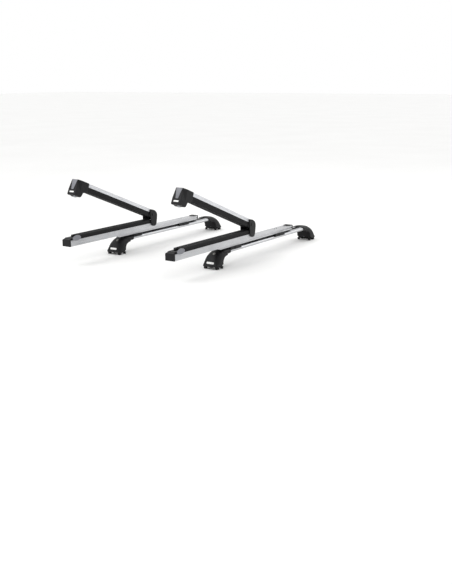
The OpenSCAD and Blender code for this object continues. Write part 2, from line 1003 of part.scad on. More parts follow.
module head_button(unit_x) {
    arm_frame(unit_x)
        intersection() {
            along_y(-head_end - 10, -head_end + 40)
                difference() {
                    head_button_face(0);
                    flat_box(-arm_w, arm_w, head_top - 0.5, head_top + 5);
                }
            end_slab(-head_button_proud, head_button_t - head_button_proud);
        }
}

module front_head_button() {
    color(button_grey) placed() head_button(front_x);
}

module rear_head_button() {
    color(button_grey) placed() head_button(rear_x);
}

module latch(unit_x) {
    arm_frame(unit_x)
        along_x(-latch_w / 2, latch_w / 2)
            translate([-latch_s, 0]) {
                translate([0, latch_z])
                    circle(r = latch_t / 2, $fn = 64);
                flat_box(-latch_t / 2, latch_t / 2, latch_tip, latch_z);
                polygon([[latch_t / 2 - 1, latch_tip], [latch_t / 2 + 4, latch_tip + 1],
                    [latch_t / 2 - 1, latch_tip + 6]]);
            }
}

module front_latch() {
    color(steel) placed() latch(front_x);
}

module rear_latch() {
    color(steel) placed() latch(rear_x);
}

module head_badge(unit_x) {
    arm_frame(unit_x)
        intersection() {
            box(-head_badge_w / 2, head_badge_w / 2, -head_end - 5, 20 - head_end,
                head_badge_low, head_badge_high);
            end_slab(-0.6, head_badge_t - eps);
        }
}

module front_head_badge() {
    color(white) placed() head_badge(front_x);
}

module rear_head_badge() {
    color(white) placed() head_badge(rear_x);
}

front_bar();
rear_bar();
bar_strips();
front_near_cover();
front_far_cover();
rear_near_cover();
rear_far_cover();
foot_bases();
foot_pads();
outer_jaws();
inner_jaws();
clamp_bolts();
front_near_lock();
front_far_lock();
rear_near_lock();
rear_far_lock();
foot_badges();
front_rail();
rear_rail();
rail_caps();
rail_rivets();
brackets();
bracket_bolts();
slot_nuts();
front_slider();
front_glides();
front_end_block();
front_slide_button();
front_lower_pad();
front_hinge_housing();
front_hinge_pin();
front_upper_arm();
front_knuckle();
front_upper_pad();
front_head();
front_head_button();
front_latch();
front_head_badge();
rear_slider();
rear_glides();
rear_end_block();
rear_slide_button();
rear_lower_pad();
rear_hinge_housing();
rear_hinge_pin();
rear_upper_arm();
rear_knuckle();
rear_upper_pad();
rear_head();
rear_head_button();
rear_latch();
rear_head_badge();
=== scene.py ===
# %% [markdown]
# # A roof ski rack, finished in Blender
#
# The engineering model gives every part its place, its size and the way it moves. This lesson
# keeps all of that and gives the rack its looks: drawn aluminium, moulded covers, rubber pads.
# Everything is in metres. +X is the front of the car, the carriers pull out towards -Y, +Z is up.

# %% Load the frame
import json
import math

import bmesh
import bpy
from mathutils import Matrix, Vector


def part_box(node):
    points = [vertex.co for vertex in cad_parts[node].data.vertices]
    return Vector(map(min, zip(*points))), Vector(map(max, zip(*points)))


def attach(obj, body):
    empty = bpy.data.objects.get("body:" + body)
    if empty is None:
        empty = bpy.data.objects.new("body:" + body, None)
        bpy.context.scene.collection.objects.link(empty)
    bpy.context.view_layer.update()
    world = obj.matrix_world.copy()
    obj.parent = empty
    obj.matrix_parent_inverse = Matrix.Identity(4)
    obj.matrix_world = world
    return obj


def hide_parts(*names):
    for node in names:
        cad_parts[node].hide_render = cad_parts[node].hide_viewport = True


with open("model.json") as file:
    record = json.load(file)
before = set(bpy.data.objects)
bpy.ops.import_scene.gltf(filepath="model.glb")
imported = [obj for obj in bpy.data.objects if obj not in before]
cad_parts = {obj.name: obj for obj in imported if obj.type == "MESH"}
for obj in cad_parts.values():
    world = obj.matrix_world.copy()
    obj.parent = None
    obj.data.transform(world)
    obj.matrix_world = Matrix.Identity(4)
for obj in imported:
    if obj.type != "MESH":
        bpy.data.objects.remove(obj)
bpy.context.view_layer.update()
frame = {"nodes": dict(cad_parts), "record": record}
MM = 0.001
behaviour = frame["record"]["behaviour"]
BODY_OF = {node: body for body, nodes in behaviour["bodies"].items() for node in nodes}
SLOT_OF = {part["node"]: part["material_slot"] for part in frame["record"]["subparts"]}
UNITS = ("front", "rear")

# %% [markdown]
# ## Camera
# A normal lens, from the front right of the car and a little above the roof, looking straight
# along its own axis. Nothing is shifted and nothing is out of focus.

# %% Camera
LENS_MM, SENSOR_MM = 53.0877, 36         # the sensor lies along the long side of the picture
CAMERA_AT = Vector((2.952, -3.9904, 0.9975))
AZIMUTH, ELEVATION, ROLL = (math.radians(a) for a in (34.51, 14.09, -0.39))


def add_camera():
    data = bpy.data.cameras.new("camera")
    data.sensor_width = SENSOR_MM
    data.lens = LENS_MM
    camera = bpy.data.objects.new("camera", data)
    bpy.context.scene.collection.objects.link(camera)
    back = Vector((math.sin(AZIMUTH) * math.cos(ELEVATION),
                   -math.cos(AZIMUTH) * math.cos(ELEVATION), math.sin(ELEVATION)))
    turn = back.to_track_quat("Z", "Y").to_matrix().to_4x4()
    camera.matrix_world = Matrix.Translation(CAMERA_AT) @ turn @ Matrix.Rotation(ROLL, 4, "Z")
    bpy.context.scene.camera = camera
    return camera


camera = add_camera()
print("lens", round(camera.data.lens, 2), "mm")

# %% [markdown]
# ## Two helpers for materials
# A hex colour is what a paint card gives; shaders work in linear light. Every node is added by
# the same small function, so a material reads as a list of what it is made of.

# %% Colour and node helpers
def linear(hex_colour):
    """(r, g, b, 1) in linear light from a colour such as #D8DADD."""
    parts = [int(hex_colour[i:i + 2], 16) / 255 for i in (1, 3, 5)]
    return (*[c / 12.92 if c <= 0.04045 else ((c + 0.055) / 1.055) ** 2.4 for c in parts], 1.0)


def add_node(tree, kind, settings=None, **inputs):
    """Adds a node. settings are its own options, inputs its sockets by name or by number (in0)."""
    node = tree.nodes.new(kind)
    for key, value in (settings or {}).items():
        setattr(node, key, value)
    for key, value in inputs.items():
        by_number = key[:2] == "in" and key[2:].isdigit()
        socket = node.inputs[int(key[2:]) if by_number else key.replace("_", " ")]
        if isinstance(value, bpy.types.NodeSocket):
            tree.links.new(value, socket)
        else:
            socket.default_value = value
    return node


def new_material(name):
    """An empty material with its shader, and the place on the piece in metres."""
    material = bpy.data.materials.new(name)
    material.use_nodes = True
    tree = material.node_tree
    tree.nodes.clear()
    shader = add_node(tree, "ShaderNodeBsdfPrincipled")
    out = add_node(tree, "ShaderNodeOutputMaterial")
    tree.links.new(shader.outputs["BSDF"], out.inputs["Surface"])
    place = add_node(tree, "ShaderNodeTexCoord").outputs["Object"]
    return material, tree, shader, place


# nearly every value of a noise lies between these two
NOISE_LOW, NOISE_HIGH = 0.3, 0.7


def spread(tree, value, low, high):
    """Turns a noise value into a range of roughness or height."""
    return add_node(tree, "ShaderNodeMapRange", None, in0=value, in1=NOISE_LOW, in2=NOISE_HIGH,
                    in3=low, in4=high).outputs[0]


def blotches(tree, place, size_mm, detail=2.0):
    """Soft noise whose patches are about size_mm across."""
    return add_node(tree, "ShaderNodeTexNoise", None, Vector=place, Scale=1000 / size_mm,
                    Detail=detail, Roughness=0.5).outputs[0]


def two_tones(tree, value, first, second):
    """A colour between two hex tones, picked by a noise value."""
    ramp = add_node(tree, "ShaderNodeValToRGB", None, in0=value)
    ramp.color_ramp.elements[0].position = NOISE_LOW
    ramp.color_ramp.elements[1].position = NOISE_HIGH
    ramp.color_ramp.elements[0].color = linear(first)
    ramp.color_ramp.elements[1].color = linear(second)
    return ramp.outputs[0]


def dent(tree, height, deep_mm, strength=1.0):
    """A bump whose full height is deep_mm."""
    return add_node(tree, "ShaderNodeBump", None, Height=height, Distance=deep_mm * MM,
                    Strength=strength).outputs[0]


# %% [markdown]
# ## Aluminium: bars, rails, sliders and arms
# All the silver lengths are drawn through a die and then anodised satin. The die leaves fine
# lines along the length and none across it, so the noise is squeezed hard along the pull. The
# real lines are about 0.1 mm apart; here they are 1 to 2 mm wide, as coarse as they must be to
# show from a few metres. The upper arms lean, so their lines lean with them.

# %% Drawn aluminium
OPEN_ANGLE = math.radians(21.5)
LINE_MM = 1.4
LINE_LENGTH_MM = 260


def drawn_aluminium(name, first, second, lean=0.0):
    material, tree, shader, place = new_material(name)
    turned = add_node(tree, "ShaderNodeMapping", None, Vector=place, Rotation=(lean, 0, 0))
    squeezed = add_node(tree, "ShaderNodeMapping", None, Vector=turned.outputs[0],
                        Scale=(1000 / LINE_MM, 1000 / LINE_LENGTH_MM, 1000 / LINE_MM))
    lines = add_node(tree, "ShaderNodeTexNoise", None, Vector=squeezed.outputs[0], Scale=1.0,
                     Detail=3.0, Roughness=0.55).outputs[0]
    cloud = blotches(tree, place, 90)
    tree.links.new(two_tones(tree, cloud, first, second), shader.inputs["Base Color"])
    tree.links.new(spread(tree, lines, 0.24, 0.40), shader.inputs["Roughness"])
    tree.links.new(dent(tree, lines, 0.03, 0.5), shader.inputs["Normal"])
    shader.inputs["Metallic"].default_value = 1.0
    return material


# gives the eye long soft highlights that break into fine streaks along the bars
aluminium_bar = drawn_aluminium("anodised aluminium, drawn", "#C6C7C9", "#BABBBE")
# a brighter anodising, with the streaks turned to run up the leaning arms
aluminium_arm = drawn_aluminium("anodised aluminium, drawn, upper arm", "#DEDFE2", "#D3D4D8", OPEN_ANGLE)

# %% [markdown]
# ## Black plastics and rubbers
# Covers, heads and hinges are glass-filled nylon from a spark-eroded mould: nearly black, with a
# fine grain that spreads the light. The real grain is about 0.15 mm; it is 0.7 mm here, so that
# it shows. The ski pads are EPDM rubber, a shade greyer and duller, with a bloom of dust on it.
# The soles under the feet are a softer and blacker rubber.

# %% Moulded nylon and rubber
def moulded_black(name, dark, light, grain_mm, rough, gloss, grain_depth_mm):
    material, tree, shader, place = new_material(name)
    grain = add_node(tree, "ShaderNodeTexVoronoi", {"feature": "SMOOTH_F1"}, Vector=place,
                     Scale=1000 / grain_mm, Smoothness=0.6).outputs[0]
    cloud = blotches(tree, place, 38, 3.0)
    tree.links.new(two_tones(tree, cloud, dark, light), shader.inputs["Base Color"])
    tree.links.new(spread(tree, cloud, *rough), shader.inputs["Roughness"])
    tree.links.new(dent(tree, grain, grain_depth_mm, 0.7), shader.inputs["Normal"])
    shader.inputs["Specular IOR Level"].default_value = gloss
    return material


# gives the eye a dark satin skin whose rounded edges catch a soft line of light
nylon = moulded_black("black glass-filled nylon, spark-eroded grain", "#111112", "#18181A",
                      0.7, (0.40, 0.52), 0.20, 0.05)
# gives the eye a dull, slightly uneven charcoal with no sharp highlight
epdm = moulded_black("EPDM rubber, extruded", "#151516", "#202021", 1.1, (0.62, 0.78), 0.18, 0.06)
# gives the eye the blackest, dullest parts, in the shade under the feet
sole_rubber = moulded_black("black rubber, pressed", "#09090A", "#0E0E0F", 0.9, (0.75, 0.88), 0.10, 0.06)

# %% [markdown]
# ## Small parts: buttons, metal and badges
# The press buttons are satin polypropylene, a light grey with a breath of violet. Bolts, pins and
# nuts are zinc plated, which is mottled by its crystals, and the lock barrels are satin nickel,
# turned on a lathe. Badges are a plain gloss white plate, because a mark isn't copied.

# %% Button plastic, zinc, nickel and white plate
def button_plastic(name, first, second):
    material, tree, shader, place = new_material(name)
    cloud = blotches(tree, place, 12, 3.0)
    fine = blotches(tree, place, 0.9)
    tree.links.new(two_tones(tree, cloud, first, second), shader.inputs["Base Color"])
    tree.links.new(spread(tree, fine, 0.36, 0.50), shader.inputs["Roughness"])
    tree.links.new(dent(tree, fine, 0.02, 0.5), shader.inputs["Normal"])
    return material


def plated_metal(name, first, second, patch_mm, rough):
    material, tree, shader, place = new_material(name)
    crystals = add_node(tree, "ShaderNodeTexVoronoi", None, Vector=place,
                        Scale=1000 / patch_mm).outputs[0]
    tree.links.new(two_tones(tree, crystals, first, second), shader.inputs["Base Color"])
    tree.links.new(spread(tree, crystals, *rough), shader.inputs["Roughness"])
    shader.inputs["Metallic"].default_value = 1.0
    return material


def white_plate(name):
    material, tree, shader, place = new_material(name)
    cloud = blotches(tree, place, 7)
    tree.links.new(two_tones(tree, cloud, "#EFEFED", "#E6E6E5"), shader.inputs["Base Color"])
    tree.links.new(spread(tree, cloud, 0.14, 0.24), shader.inputs["Roughness"])
    shader.inputs["Coat Weight"].default_value = 0.4
    return material


# gives the eye the two light, satin spots that say "press here"
grey_button = button_plastic("light grey polypropylene, satin", "#717278", "#7B7C82")
# gives the eye small cool sparks at bolts, pins and rivets
zinc = plated_metal("steel, zinc plated", "#B4B6BA", "#9EA0A4", 2.0, (0.28, 0.44))
# gives the eye a dim, warm glint at each lock
nickel = plated_metal("brass, satin nickel plated", "#7E7D7A", "#6C6B68", 1.2, (0.34, 0.46))
# gives the eye two small dark dots on the pale rail
black_steel = plated_metal("steel, black oxide", "#4C4C4F", "#38383A", 1.5, (0.38, 0.52))
# gives the eye a clean pale bar on each foot and head
badge_white = white_plate("white enamelled plate")

FINISH_OF_SLOT = {"silver": aluminium_bar, "charcoal": nylon, "rubber": sole_rubber,
                  "pad_rubber": epdm, "button_grey": grey_button, "steel": zinc, "lock": nickel,
                  "badge": badge_white}
print(len(bpy.data.materials), "materials")

# %% [markdown]
# ## Shaping helpers
# A few workshop moves make every piece: take a clean copy of an engineering part, cut one solid
# with another, round a moulded part, draw a section out to a length, and hand the piece over.

# %% Hand a piece over
def plain_object(name, mesh):
    piece = bpy.data.objects.new(name, mesh)
    bpy.context.scene.collection.objects.link(piece)
    return piece


def settle(piece):
    """Turns the piece's live modifiers into its own plain mesh."""
    graph = bpy.context.evaluated_depsgraph_get()
    mesh = bpy.data.meshes.new_from_object(piece.evaluated_get(graph))
    old = piece.data
    piece.modifiers.clear()
    piece.data = mesh
    mesh.name = piece.name
    if old.users == 0:
        bpy.data.meshes.remove(old)
    return piece


def shade(piece, sharp_degrees=38):
    """Smooth faces, with a crisp line where two faces meet at more than this angle."""
    piece.data.shade_smooth()
    piece.data.set_sharp_from_angle(angle=math.radians(sharp_degrees))


def hand_over(piece, finish, *nodes, body=None, slot=None):
    """Gives the piece its finish and its body, and hides the CAD nodes that it takes the place of."""
    piece.data.materials.clear()
    piece.data.materials.append(finish)
    for polygon in piece.data.polygons:
        polygon.material_index = 0
    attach(piece, body or BODY_OF[nodes[0]])
    if nodes:
        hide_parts(*nodes)
    return piece


# %% [markdown]
# The copy of an engineering part is welded and its flat faces are joined, so that a bevel finds
# only the part's real edges.

# %% Copy, weld and bevel
WELD = 2e-6
FLAT = math.radians(0.4)


def welded_copy(name, node):
    mesh = frame["nodes"][node].data.copy()
    work = bmesh.new()
    work.from_mesh(mesh)
    bmesh.ops.remove_doubles(work, verts=work.verts, dist=WELD)
    bmesh.ops.recalc_face_normals(work, faces=work.faces)
    work.to_mesh(mesh)
    work.free()
    return plain_object(name, mesh)


def crisp(name, node, finish, edge_mm):
    """A machined part: every real edge is broken by a small bevel."""
    piece = welded_copy(name, node)
    work = bmesh.new()
    work.from_mesh(piece.data)
    bmesh.ops.dissolve_limit(work, angle_limit=FLAT, verts=work.verts, edges=work.edges)
    work.to_mesh(piece.data)
    work.free()
    bevel = piece.modifiers.new("broken edge", "BEVEL")
    bevel.width = edge_mm * MM
    bevel.segments = 2
    bevel.limit_method = "ANGLE"
    bevel.angle_limit = math.radians(35)
    bevel.use_clamp_overlap = True
    settle(piece)
    shade(piece)
    return hand_over(piece, finish, node)


def rounded(piece, grain_mm, passes):
    """A moulded part: rebuilt in small cells and relaxed, which rounds every edge."""
    cells = piece.modifiers.new("cells", "REMESH")
    cells.mode = "VOXEL"
    cells.voxel_size = grain_mm * MM
    relax = piece.modifiers.new("relax", "SMOOTH")
    relax.factor = 0.5
    relax.iterations = passes
    settle(piece)
    piece.data.shade_smooth()
    return piece


def moulded(name, node, finish, grain_mm, passes):
    return hand_over(rounded(welded_copy(name, node), grain_mm, passes), finish, node)


# %% [markdown]
# Solids are also made from outlines: `prism` carries a flat outline through a thickness, and
# `loft` joins a row of rings and closes both ends. `carve` adds, cuts or intersects two solids.

# %% Prisms, lofts and cuts
def fix_normals(mesh):
    work = bmesh.new()
    work.from_mesh(mesh)
    bmesh.ops.recalc_face_normals(work, faces=work.faces)
    work.to_mesh(mesh)
    work.free()
    return mesh


def loft(name, rings):
    """A closed solid through rings of the same number of points."""
    count = len(rings[0])
    points = [p for ring in rings for p in ring]
    faces = [tuple(range(count)), tuple(reversed(range((len(rings) - 1) * count, len(points))))]
    for r in range(len(rings) - 1):
        a, b = r * count, (r + 1) * count
        faces += [(a + i, b + i, b + (i + 1) % count, a + (i + 1) % count) for i in range(count)]
    mesh = bpy.data.meshes.new(name)
    mesh.from_pydata([tuple(p) for p in points], [], faces)
    return fix_normals(mesh)


def prism(name, outline, along, start, end):
    """A flat outline carried along x (outline in y, z) or along y (outline in x, z)."""
    if along == "x":
        rings = [[(at, u, v) for u, v in outline] for at in (start, end)]
    else:
        rings = [[(u, at, v) for u, v in outline] for at in (start, end)]
    return loft(name, rings)


def block(name, x0, x1, y0, y1, z0, z1):
    return prism(name, [(y0, z0), (y1, z0), (y1, z1), (y0, z1)], "x", x0, x1)


def carve(first, how, second):
    """first with second added (UNION), taken away (DIFFERENCE) or both in common (INTERSECT)."""
    keep, tool = plain_object("keep", first), plain_object("tool", second)
    cut = keep.modifiers.new("cut", "BOOLEAN")
    cut.operation, cut.object, cut.solver = how, tool, "EXACT"
    graph = bpy.context.evaluated_depsgraph_get()
    mesh = bpy.data.meshes.new_from_object(keep.evaluated_get(graph))
    for temporary in (keep, tool):
        bpy.data.objects.remove(temporary)
    return mesh


# %% [markdown]
# ## Two node trees
# `drawn length` is the extrusion press: it takes a flat section and pushes it out to a length.
# `row of copies` sets the same small piece again and again at an even step, as rivets and tread
# ribs are. Both end by making real geometry with its material.

# %% Node trees for drawn lengths and rows
def named_tree(name, sockets):
    tree = bpy.data.node_groups.new(name, "GeometryNodeTree")
    for label, kind in sockets:
        tree.interface.new_socket(label, in_out="INPUT", socket_type=kind)
    tree.interface.new_socket("Piece", in_out="OUTPUT", socket_type="NodeSocketGeometry")
    return tree, tree.nodes.new("NodeGroupInput"), tree.nodes.new("NodeGroupOutput")


def end_tree(tree, start, last, finish):
    real = add_node(tree, "GeometryNodeRealizeInstances", None, in0=last)
    paint = add_node(tree, "GeometryNodeSetMaterial", None, Geometry=real.outputs[0])
    tree.links.new(start.outputs["Finish"], paint.inputs["Material"])
    tree.links.new(paint.outputs[0], finish.inputs[0])


def drawn_length_tree():
    tree, start, end = named_tree("drawn length", [
        ("Section", "NodeSocketGeometry"), ("Length", "NodeSocketFloat"),
        ("Finish", "NodeSocketMaterial")])
    push = add_node(tree, "GeometryNodeExtrudeMesh", {"mode": "FACES"}, Mesh=start.outputs["Section"],
                    Offset=(0, 1, 0), Individual=False)
    tree.links.new(start.outputs["Length"], push.inputs["Offset Scale"])
    back_face = add_node(tree, "GeometryNodeFlipFaces", None, Mesh=start.outputs["Section"])
    both = add_node(tree, "GeometryNodeJoinGeometry")
    tree.links.new(push.outputs["Mesh"], both.inputs[0])
    tree.links.new(back_face.outputs[0], both.inputs[0])
    weld = add_node(tree, "GeometryNodeMergeByDistance", None, Geometry=both.outputs[0], Distance=WELD)
    end_tree(tree, start, weld.outputs[0], end)
    return tree


def row_tree():
    tree, start, end = named_tree("row of copies", [
        ("Piece", "NodeSocketGeometry"), ("Count", "NodeSocketInt"), ("Step", "NodeSocketVector"),
        ("Finish", "NodeSocketMaterial")])
    line = add_node(tree, "GeometryNodeMeshLine", {"mode": "OFFSET"}, Count=start.outputs["Count"],
                    Offset=start.outputs["Step"])
    copies = add_node(tree, "GeometryNodeInstanceOnPoints", None, Points=line.outputs[0],
                      Instance=start.outputs["Piece"])
    end_tree(tree, start, copies.outputs[0], end)
    return tree


DRAWN_LENGTH = drawn_length_tree()
ROW = row_tree()


def run_tree(piece, tree, **values):
    """Runs a node tree on a piece, with its inputs set by name, and keeps the result."""
    press = piece.modifiers.new(tree.name, "NODES")
    press.node_group = tree
    for item in tree.interface.items_tree:
        if item.in_out == "INPUT" and item.name in values:
            press[item.identifier] = values[item.name]
    return settle(piece)


def flat_section(name, outline, at_y):
    """One flat face that looks along +Y, ready to be drawn out."""
    mesh = bpy.data.meshes.new(name)
    mesh.from_pydata([(x, at_y, z) for x, z in outline], [], [tuple(range(len(outline)))])
    mesh.update()
    if mesh.polygons[0].normal.y < 0:
        mesh.flip_normals()
    return plain_object(name, mesh)


def draw_out(name, outline, start, end, finish):
    piece = run_tree(flat_section(name, outline, start), DRAWN_LENGTH, Length=end - start, Finish=finish)
    fix_normals(piece.data)
    return piece


print("node trees", [tree.name for tree in (DRAWN_LENGTH, ROW)])

# %% [markdown]
# ## Wing bars
# Each crossbar is one drawn length with a wing section, 80 mm from nose to tail and 25 mm thick.
# The slot in its back takes the bolts of whatever it carries. It is off the middle, under the
# ski carrier.

# %% Wing bars
WING_HALF, WING_HALF_H, WING_POWER = 40 * MM, 12.5 * MM, 0.78
BAR_Z = 81 * MM
SLOT_SHIFT = 12 * MM
WING_STEPS = 144


def signed_power(value, power):
    return math.copysign(abs(value) ** power, value)


def wing_point(turn, grow=0.0):
    return ((WING_HALF + grow) * signed_power(math.cos(turn), WING_POWER),
            BAR_Z + (WING_HALF_H + grow) * signed_power(math.sin(turn), WING_POWER))


def wing_outline(grow=0.0, steps=WING_STEPS):
    return [wing_point(2 * math.pi * i / steps, grow) for i in range(steps)]


def slotted_wing(centre_x):
    """The wing with its T-shaped slot, as one outline."""
    mouth, chamber = 6 * MM, 10.5 * MM
    roof, floor = BAR_Z + 6.5 * MM, BAR_Z - 3 * MM
    outline = []
    for x, z in wing_outline():
        if z > BAR_Z and abs(x - SLOT_SHIFT) < mouth:
            if not any(p[1] == floor for p in outline):
                top = BAR_Z + 12.3 * MM
                outline += [(SLOT_SHIFT + mouth, top), (SLOT_SHIFT + mouth, roof),
                            (SLOT_SHIFT + chamber, roof), (SLOT_SHIFT + chamber, floor),
                            (SLOT_SHIFT - chamber, floor), (SLOT_SHIFT - chamber, roof),
                            (SLOT_SHIFT - mouth, roof), (SLOT_SHIFT - mouth, top + 0.1 * MM)]
            continue
        outline.append((x, z))
    return [(centre_x + x, z) for x, z in outline]


for unit in UNITS:
    low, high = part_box(unit + "_bar")
    section = slotted_wing((low[0] + high[0]) / 2)
    bar = draw_out(unit + "_wing_bar", section, low[1], high[1], aluminium_bar)
    shade(bar, 30)
    hand_over(bar, aluminium_bar, unit + "_bar")
    print(bar.name, round(high[1] - low[1], 3), "m long,", len(bar.data.polygons), "faces")

# %% [markdown]
# ## Foot covers
# A cover is a domed nylon shell that hides the clamp. Its crest runs level over the bar's collar
# and then falls in one curve to the roof rail, and its flanks are rounded off on both sides. It
# is lofted here through closely spaced sections, hollowed, bored for the bar and the lock, and
# then relaxed like a moulding. `dome_height` gives the skin's height anywhere, so the badge can
# follow it.

# %% The dome of a cover
COVER_LOW, COVER_WALL = 13 * MM, 3.5 * MM
# the sleeve round the bar: outwards from the collar, and how thick it is there as it fades away
SLEEVE = ((0, 4 * MM), (42 * MM, 4 * MM), (62 * MM, 1.2 * MM))
COVER_IN, ARCH_LEN, ARCH_H = 76 * MM, 18 * MM, 11 * MM
DOME_DROP, DOME_POWER, SKIRT_H = 36 * MM, 2.8, 3 * MM
# outwards from the collar, height of the crest, half width, all in mm
CREST = ((26, 98, 42), (46, 96.8, 44.5), (60, 94, 46), (80, 88, 47), (98, 78.5, 48), (112, 67.5, 48),
         (124, 52.5, 48), (133, 36, 47), (139, 22, 44.5), (142, 17.5, 41))
TIP_MM, HOLLOW_START_MM = CREST[-1][0], 48
SECTIONS, ACROSS, CROWDING = 44, 40, 1.35       # the sections stand closer towards the tip
PAST_RIM, PAST_SIDES = 2 * MM, 60 * MM          # how far cutting solids reach past the cover


def along_crest(out_mm):
    """Height of the crest and half width, on a smooth curve through the crest's points."""
    last = len(CREST) - 2
    i = min(max(sum(out_mm >= p[0] for p in CREST) - 1, 0), last)
    a, b, c, d = (CREST[min(max(i + k, 0), last + 1)] for k in (-1, 0, 1, 2))
    t = (out_mm - b[0]) / (c[0] - b[0])

    def curve(k):
        slope_b = (c[k] - a[k]) / (c[0] - a[0]) * (c[0] - b[0])
        slope_c = (d[k] - b[k]) / (d[0] - b[0]) * (c[0] - b[0])
        return ((2 * t ** 3 - 3 * t ** 2 + 1) * b[k] + (t ** 3 - 2 * t ** 2 + t) * slope_b
                + (3 * t ** 2 - 2 * t ** 3) * c[k] + (t ** 3 - t ** 2) * slope_c)
    return curve(1) * MM, curve(2) * MM


def dome_height(out_mm, x, inset=0.0):
    crest, half_w = along_crest(out_mm)
    top, half_w = crest - inset, half_w - inset
    drop = min(DOME_DROP, top - COVER_LOW - SKIRT_H)
    u = min(abs(x) / half_w, 1.0)
    return top - drop * (1 - (1 - u ** DOME_POWER) ** (1 / DOME_POWER))


def dome_solid(inset, start_mm):
    """The dome from start_mm to its tip or, with an inset, its hollow, which is open below."""
    rings = []
    low = COVER_LOW - (PAST_RIM if inset else 0)
    for s in range(SECTIONS):
        f = s / (SECTIONS - 1)
        out_mm = start_mm + (TIP_MM - start_mm) * (1 - (1 - f) ** CROWDING)
        half_w = along_crest(out_mm)[1] - inset
        ring = [(half_w, low)]
        for k in range(ACROSS + 1):
            x = half_w * math.cos(math.pi * k / ACROSS)
            ring.append((x, dome_height(out_mm, x, inset)))
        ring.append((-half_w, low))
        rings.append([(x, out_mm * MM - inset * f, z) for x, z in ring])
    return loft("dome", rings)


def under_neck(grow):
    """The free space under the neck, grown by the wall where it bounds the hollow."""
    low, z = -1 * MM, lambda value: value * MM + grow
    outline = [(low, 0), (COVER_IN + grow, 0), (COVER_IN + grow, 34 * MM), (73 * MM + grow, z(44)),
               (67 * MM + grow, z(53)), (58 * MM, z(59)), (48 * MM, z(62)), (20 * MM, z(65)),
               (low, z(65))]
    return prism("under neck", outline, "x", -PAST_SIDES, PAST_SIDES)


LOCK_OUT, LOCK_Z, LOCK_TILT, LOCK_R = 87.5 * MM, 66.5 * MM, math.radians(52), 9 * MM
LOCK_GAP, LOCK_BORE_LEN = 0.3 * MM, 60 * MM
TO_LOCK = Matrix.Translation((0, LOCK_OUT, LOCK_Z)) @ Matrix.Rotation(LOCK_TILT - math.pi / 2, 4, "X")


def disc_rings(profile, steps=64):
    """Rings turned about z from (radius, height) pairs."""
    return [[(r * math.cos(2 * math.pi * i / steps), r * math.sin(2 * math.pi * i / steps), h)
             for i in range(steps)] for r, h in profile]


def lock_bore():
    radius = LOCK_R + LOCK_GAP
    mesh = loft("lock bore", disc_rings([(radius, 0), (radius, LOCK_BORE_LEN)]))
    mesh.transform(TO_LOCK)
    return mesh


SLEEVE_STEPS, BAR_GAP, BORE_START, BORE_END = 96, 0.5 * MM, -5 * MM, 50.4 * MM


def cover_shell():
    outside = carve(dome_solid(0, CREST[0][0]), "DIFFERENCE", under_neck(0))
    sleeve = loft("sleeve", [[(x, out, z) for x, z in wing_outline(wall, SLEEVE_STEPS)]
                             for out, wall in SLEEVE])
    solid = carve(outside, "UNION", sleeve)
    hollow = carve(dome_solid(COVER_WALL, HOLLOW_START_MM), "DIFFERENCE", under_neck(COVER_WALL))
    shell = carve(solid, "DIFFERENCE", hollow)
    bore = prism("bar bore", wing_outline(BAR_GAP, SLEEVE_STEPS), "y", BORE_START, BORE_END)
    shell = carve(shell, "DIFFERENCE", bore)
    arch = [(COVER_IN - MM, 0), (COVER_IN + ARCH_LEN, 0), (COVER_IN + ARCH_LEN, COVER_LOW),
            (COVER_IN - MM, COVER_LOW + ARCH_H)]
    shell = carve(shell, "DIFFERENCE", prism("arch", arch, "x", -PAST_SIDES, PAST_SIDES))
    return carve(shell, "DIFFERENCE", lock_bore())


shell_cast = rounded(plain_object("cover_cast", cover_shell()), 1.6, 4)
print("one cover:", len(shell_cast.data.polygons), "faces")

# %% [markdown]
# The same cast serves all four feet. `TO_FOOT` sets it at its collar, turned over for the near
# end, exactly where the engineering cover is. With it go a lock bezel, a thin nylon ring that
# frames the lock, and a blank badge that is bent to the dome.

# %% Covers, bezels and badges
ENDS = {"near": -1, "far": 1}


def to_foot(unit, end):
    low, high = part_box(f"{unit}_{end}_cover")
    collar = low[1] if end == "far" else high[1]
    middle = (low[0] + high[0]) / 2
    return Matrix.Translation((middle, collar, 0)) @ Matrix.Scale(ENDS[end], 4, (0, 1, 0))


def at_foot(mesh, unit, end):
    copy = mesh.copy()
    copy.transform(to_foot(unit, end))
    if end == "near":
        copy.flip_normals()
    return copy


def joined(name, meshes):
    work = bmesh.new()
    for mesh in meshes:
        work.from_mesh(mesh)
    whole = bpy.data.meshes.new(name)
    work.to_mesh(whole)
    work.free()
    return plain_object(name, whole)


# the bezel's section: radius, and height along the lock's axis, in mm
BEZEL = ((9.4, 11), (9.4, 15.6), (9.8, 16.2), (10.6, 16.2), (11.4, 15.4), (11.6, 14.2), (11.6, 11))


def bezel_mesh():
    """A ring turned from a closed section, so its last loop joins its first."""
    rings = disc_rings([(r * MM, h * MM) for r, h in BEZEL])
    work = bmesh.new()
    steps = len(rings[0])
    loops = [[work.verts.new(p) for p in ring] for ring in rings]
    for a, b in zip(loops, loops[1:] + loops[:1]):
        for i in range(steps):
            work.faces.new((a[i], a[(i + 1) % steps], b[(i + 1) % steps], b[i]))
    bmesh.ops.recalc_face_normals(work, faces=work.faces)
    mesh = bpy.data.meshes.new("bezel")
    work.to_mesh(mesh)
    work.free()
    mesh.transform(TO_LOCK)
    return mesh


SEARCH_FROM_MM, SEARCH_TO_MM, HALVINGS = 100.0, TIP_MM - 0.1, 40


def skin_out(x, z):
    """How far out the dome's skin is at this width and height, in mm."""
    near, far = SEARCH_FROM_MM, SEARCH_TO_MM
    for _ in range(HALVINGS):
        middle = (near + far) / 2
        near, far = (middle, far) if dome_height(middle, x) > z else (near, middle)
    return near


